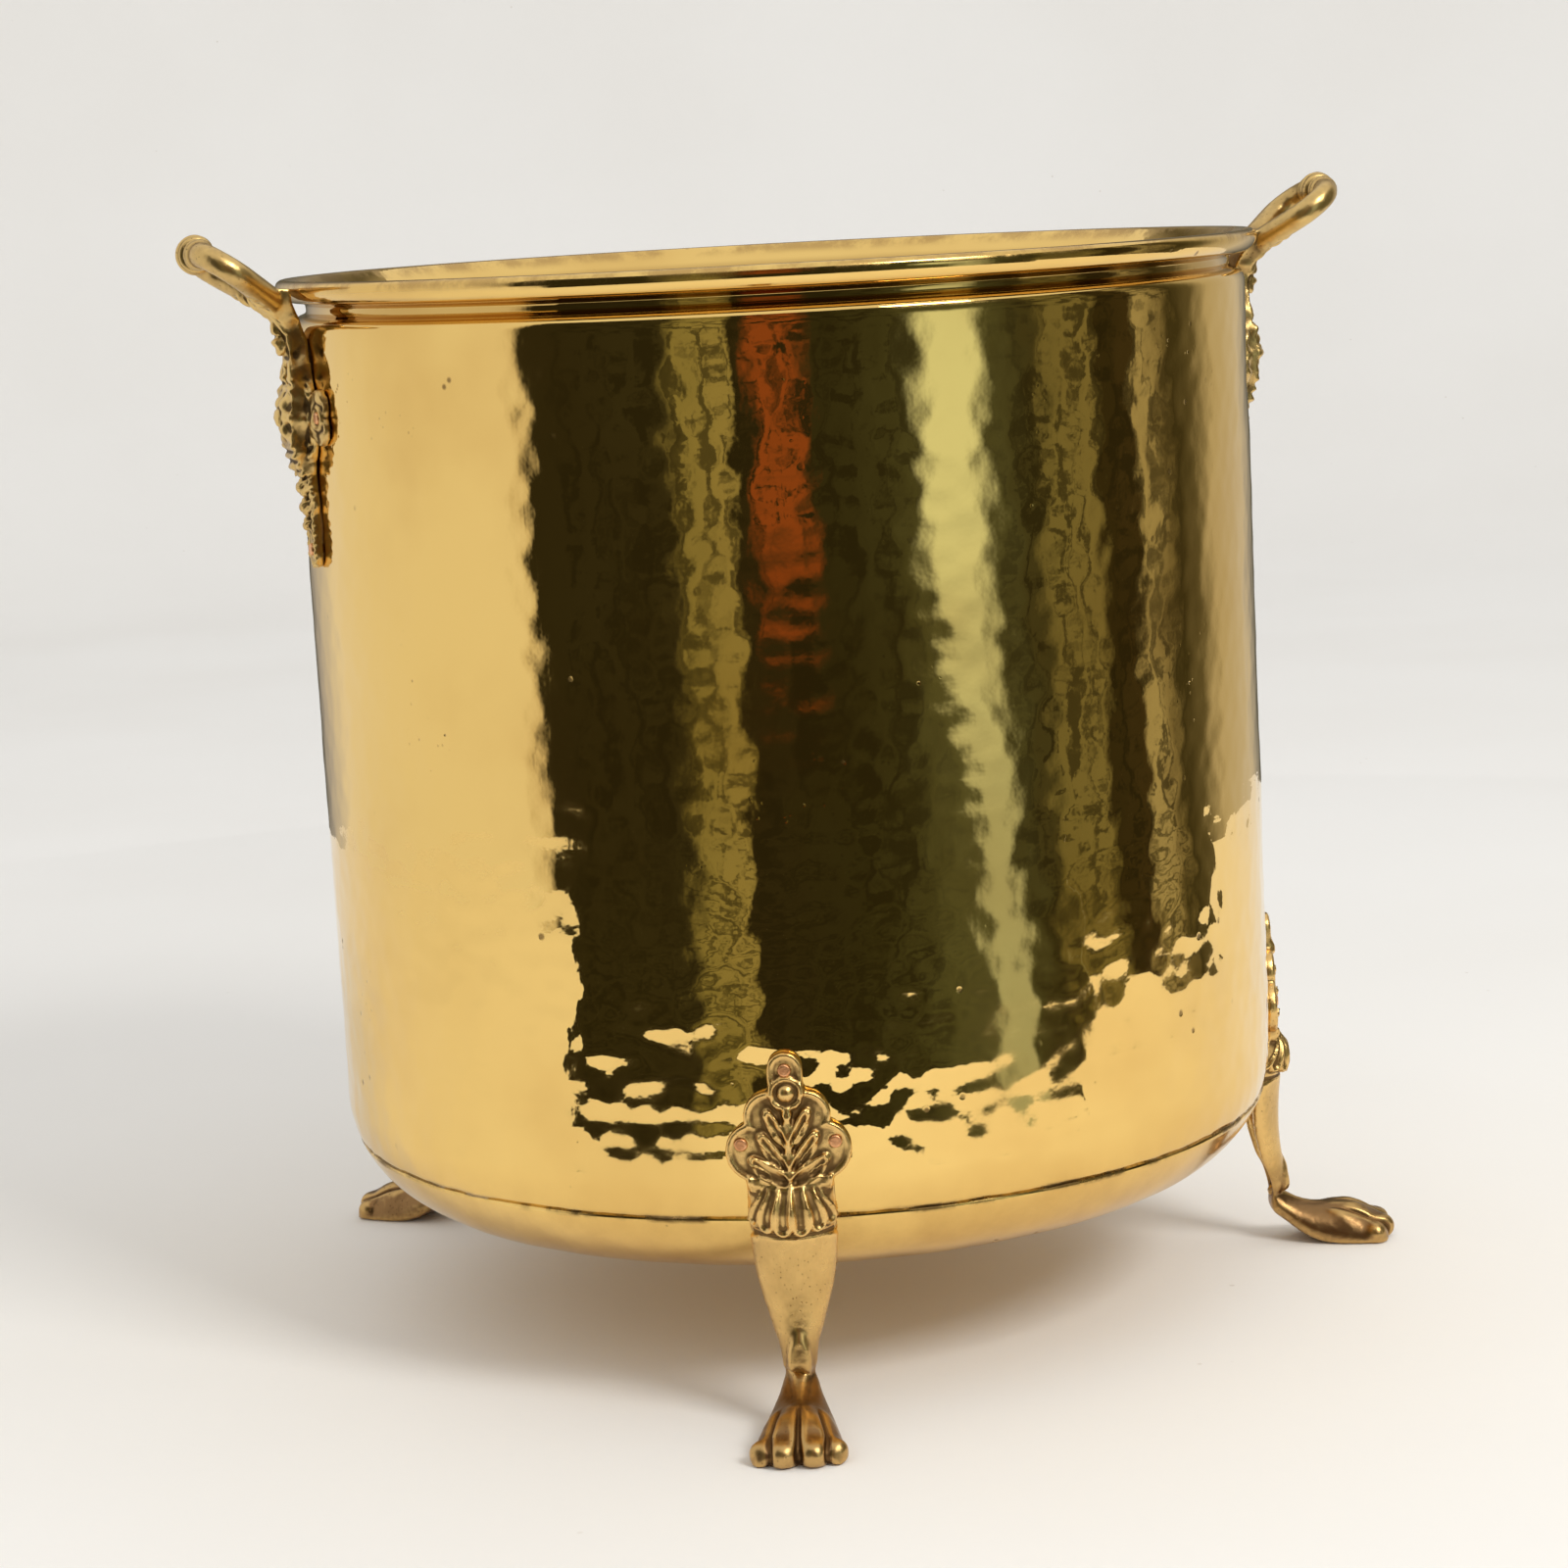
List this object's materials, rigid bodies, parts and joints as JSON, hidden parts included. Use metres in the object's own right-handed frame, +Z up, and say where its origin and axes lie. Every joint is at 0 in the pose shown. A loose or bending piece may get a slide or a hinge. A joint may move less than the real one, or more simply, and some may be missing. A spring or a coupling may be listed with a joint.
{
  "type": "footed planter pot",
  "caption": "Round hammered brass pot with a rolled rim, cast carrying handles riveted under the rim, and riveted cast paw feet; holds a plant, liner or logs.",
  "frame": {"origin": "on the floor, under the middle of the whole piece's outline; the bowl's own axis stands 1.3 mm towards - X and 15.7 mm towards +Y from it, because the toes reach out further at the front", "axes": "+Z up; X runs across the handles; -Y is the side nearest the front leg"},
  "size_m": [0.3874, 0.35, 0.3609],
  "materials": {
    "brass_sheet": "hammered, polished, with light pits and scratches",
    "iron_wire": "drawn iron wire, hidden in the rolled rim",
    "handle_casting": "aged cast brass with dark recesses",
    "leg_casting": "satin cast brass, darker at the paws",
    "copper_rivet": "bare copper, peened"
  },
  "bodies": {
    "root": {"pot_wall": "brass_sheet", "pot_base": "brass_sheet", "rim_wire": "iron_wire", "handle_left": "handle_casting", "handle_right": "handle_casting", "leg_front": "leg_casting", "rivet_leg_front_top": "copper_rivet", "rivet_leg_front_left": "copper_rivet", "rivet_leg_front_right": "copper_rivet", "leg_right": "leg_casting", "rivet_leg_right_top": "copper_rivet", "rivet_leg_right_left": "copper_rivet", "rivet_leg_right_right": "copper_rivet", "leg_rear": "leg_casting", "rivet_leg_rear_top": "copper_rivet", "rivet_leg_rear_left": "copper_rivet", "rivet_leg_rear_right": "copper_rivet", "rivet_handle_left_left": "copper_rivet", "rivet_handle_left_right": "copper_rivet", "rivet_handle_left_low": "copper_rivet", "rivet_handle_right_left": "copper_rivet", "rivet_handle_right_right": "copper_rivet", "rivet_handle_right_low": "copper_rivet"}
  },
  "joints": []
}
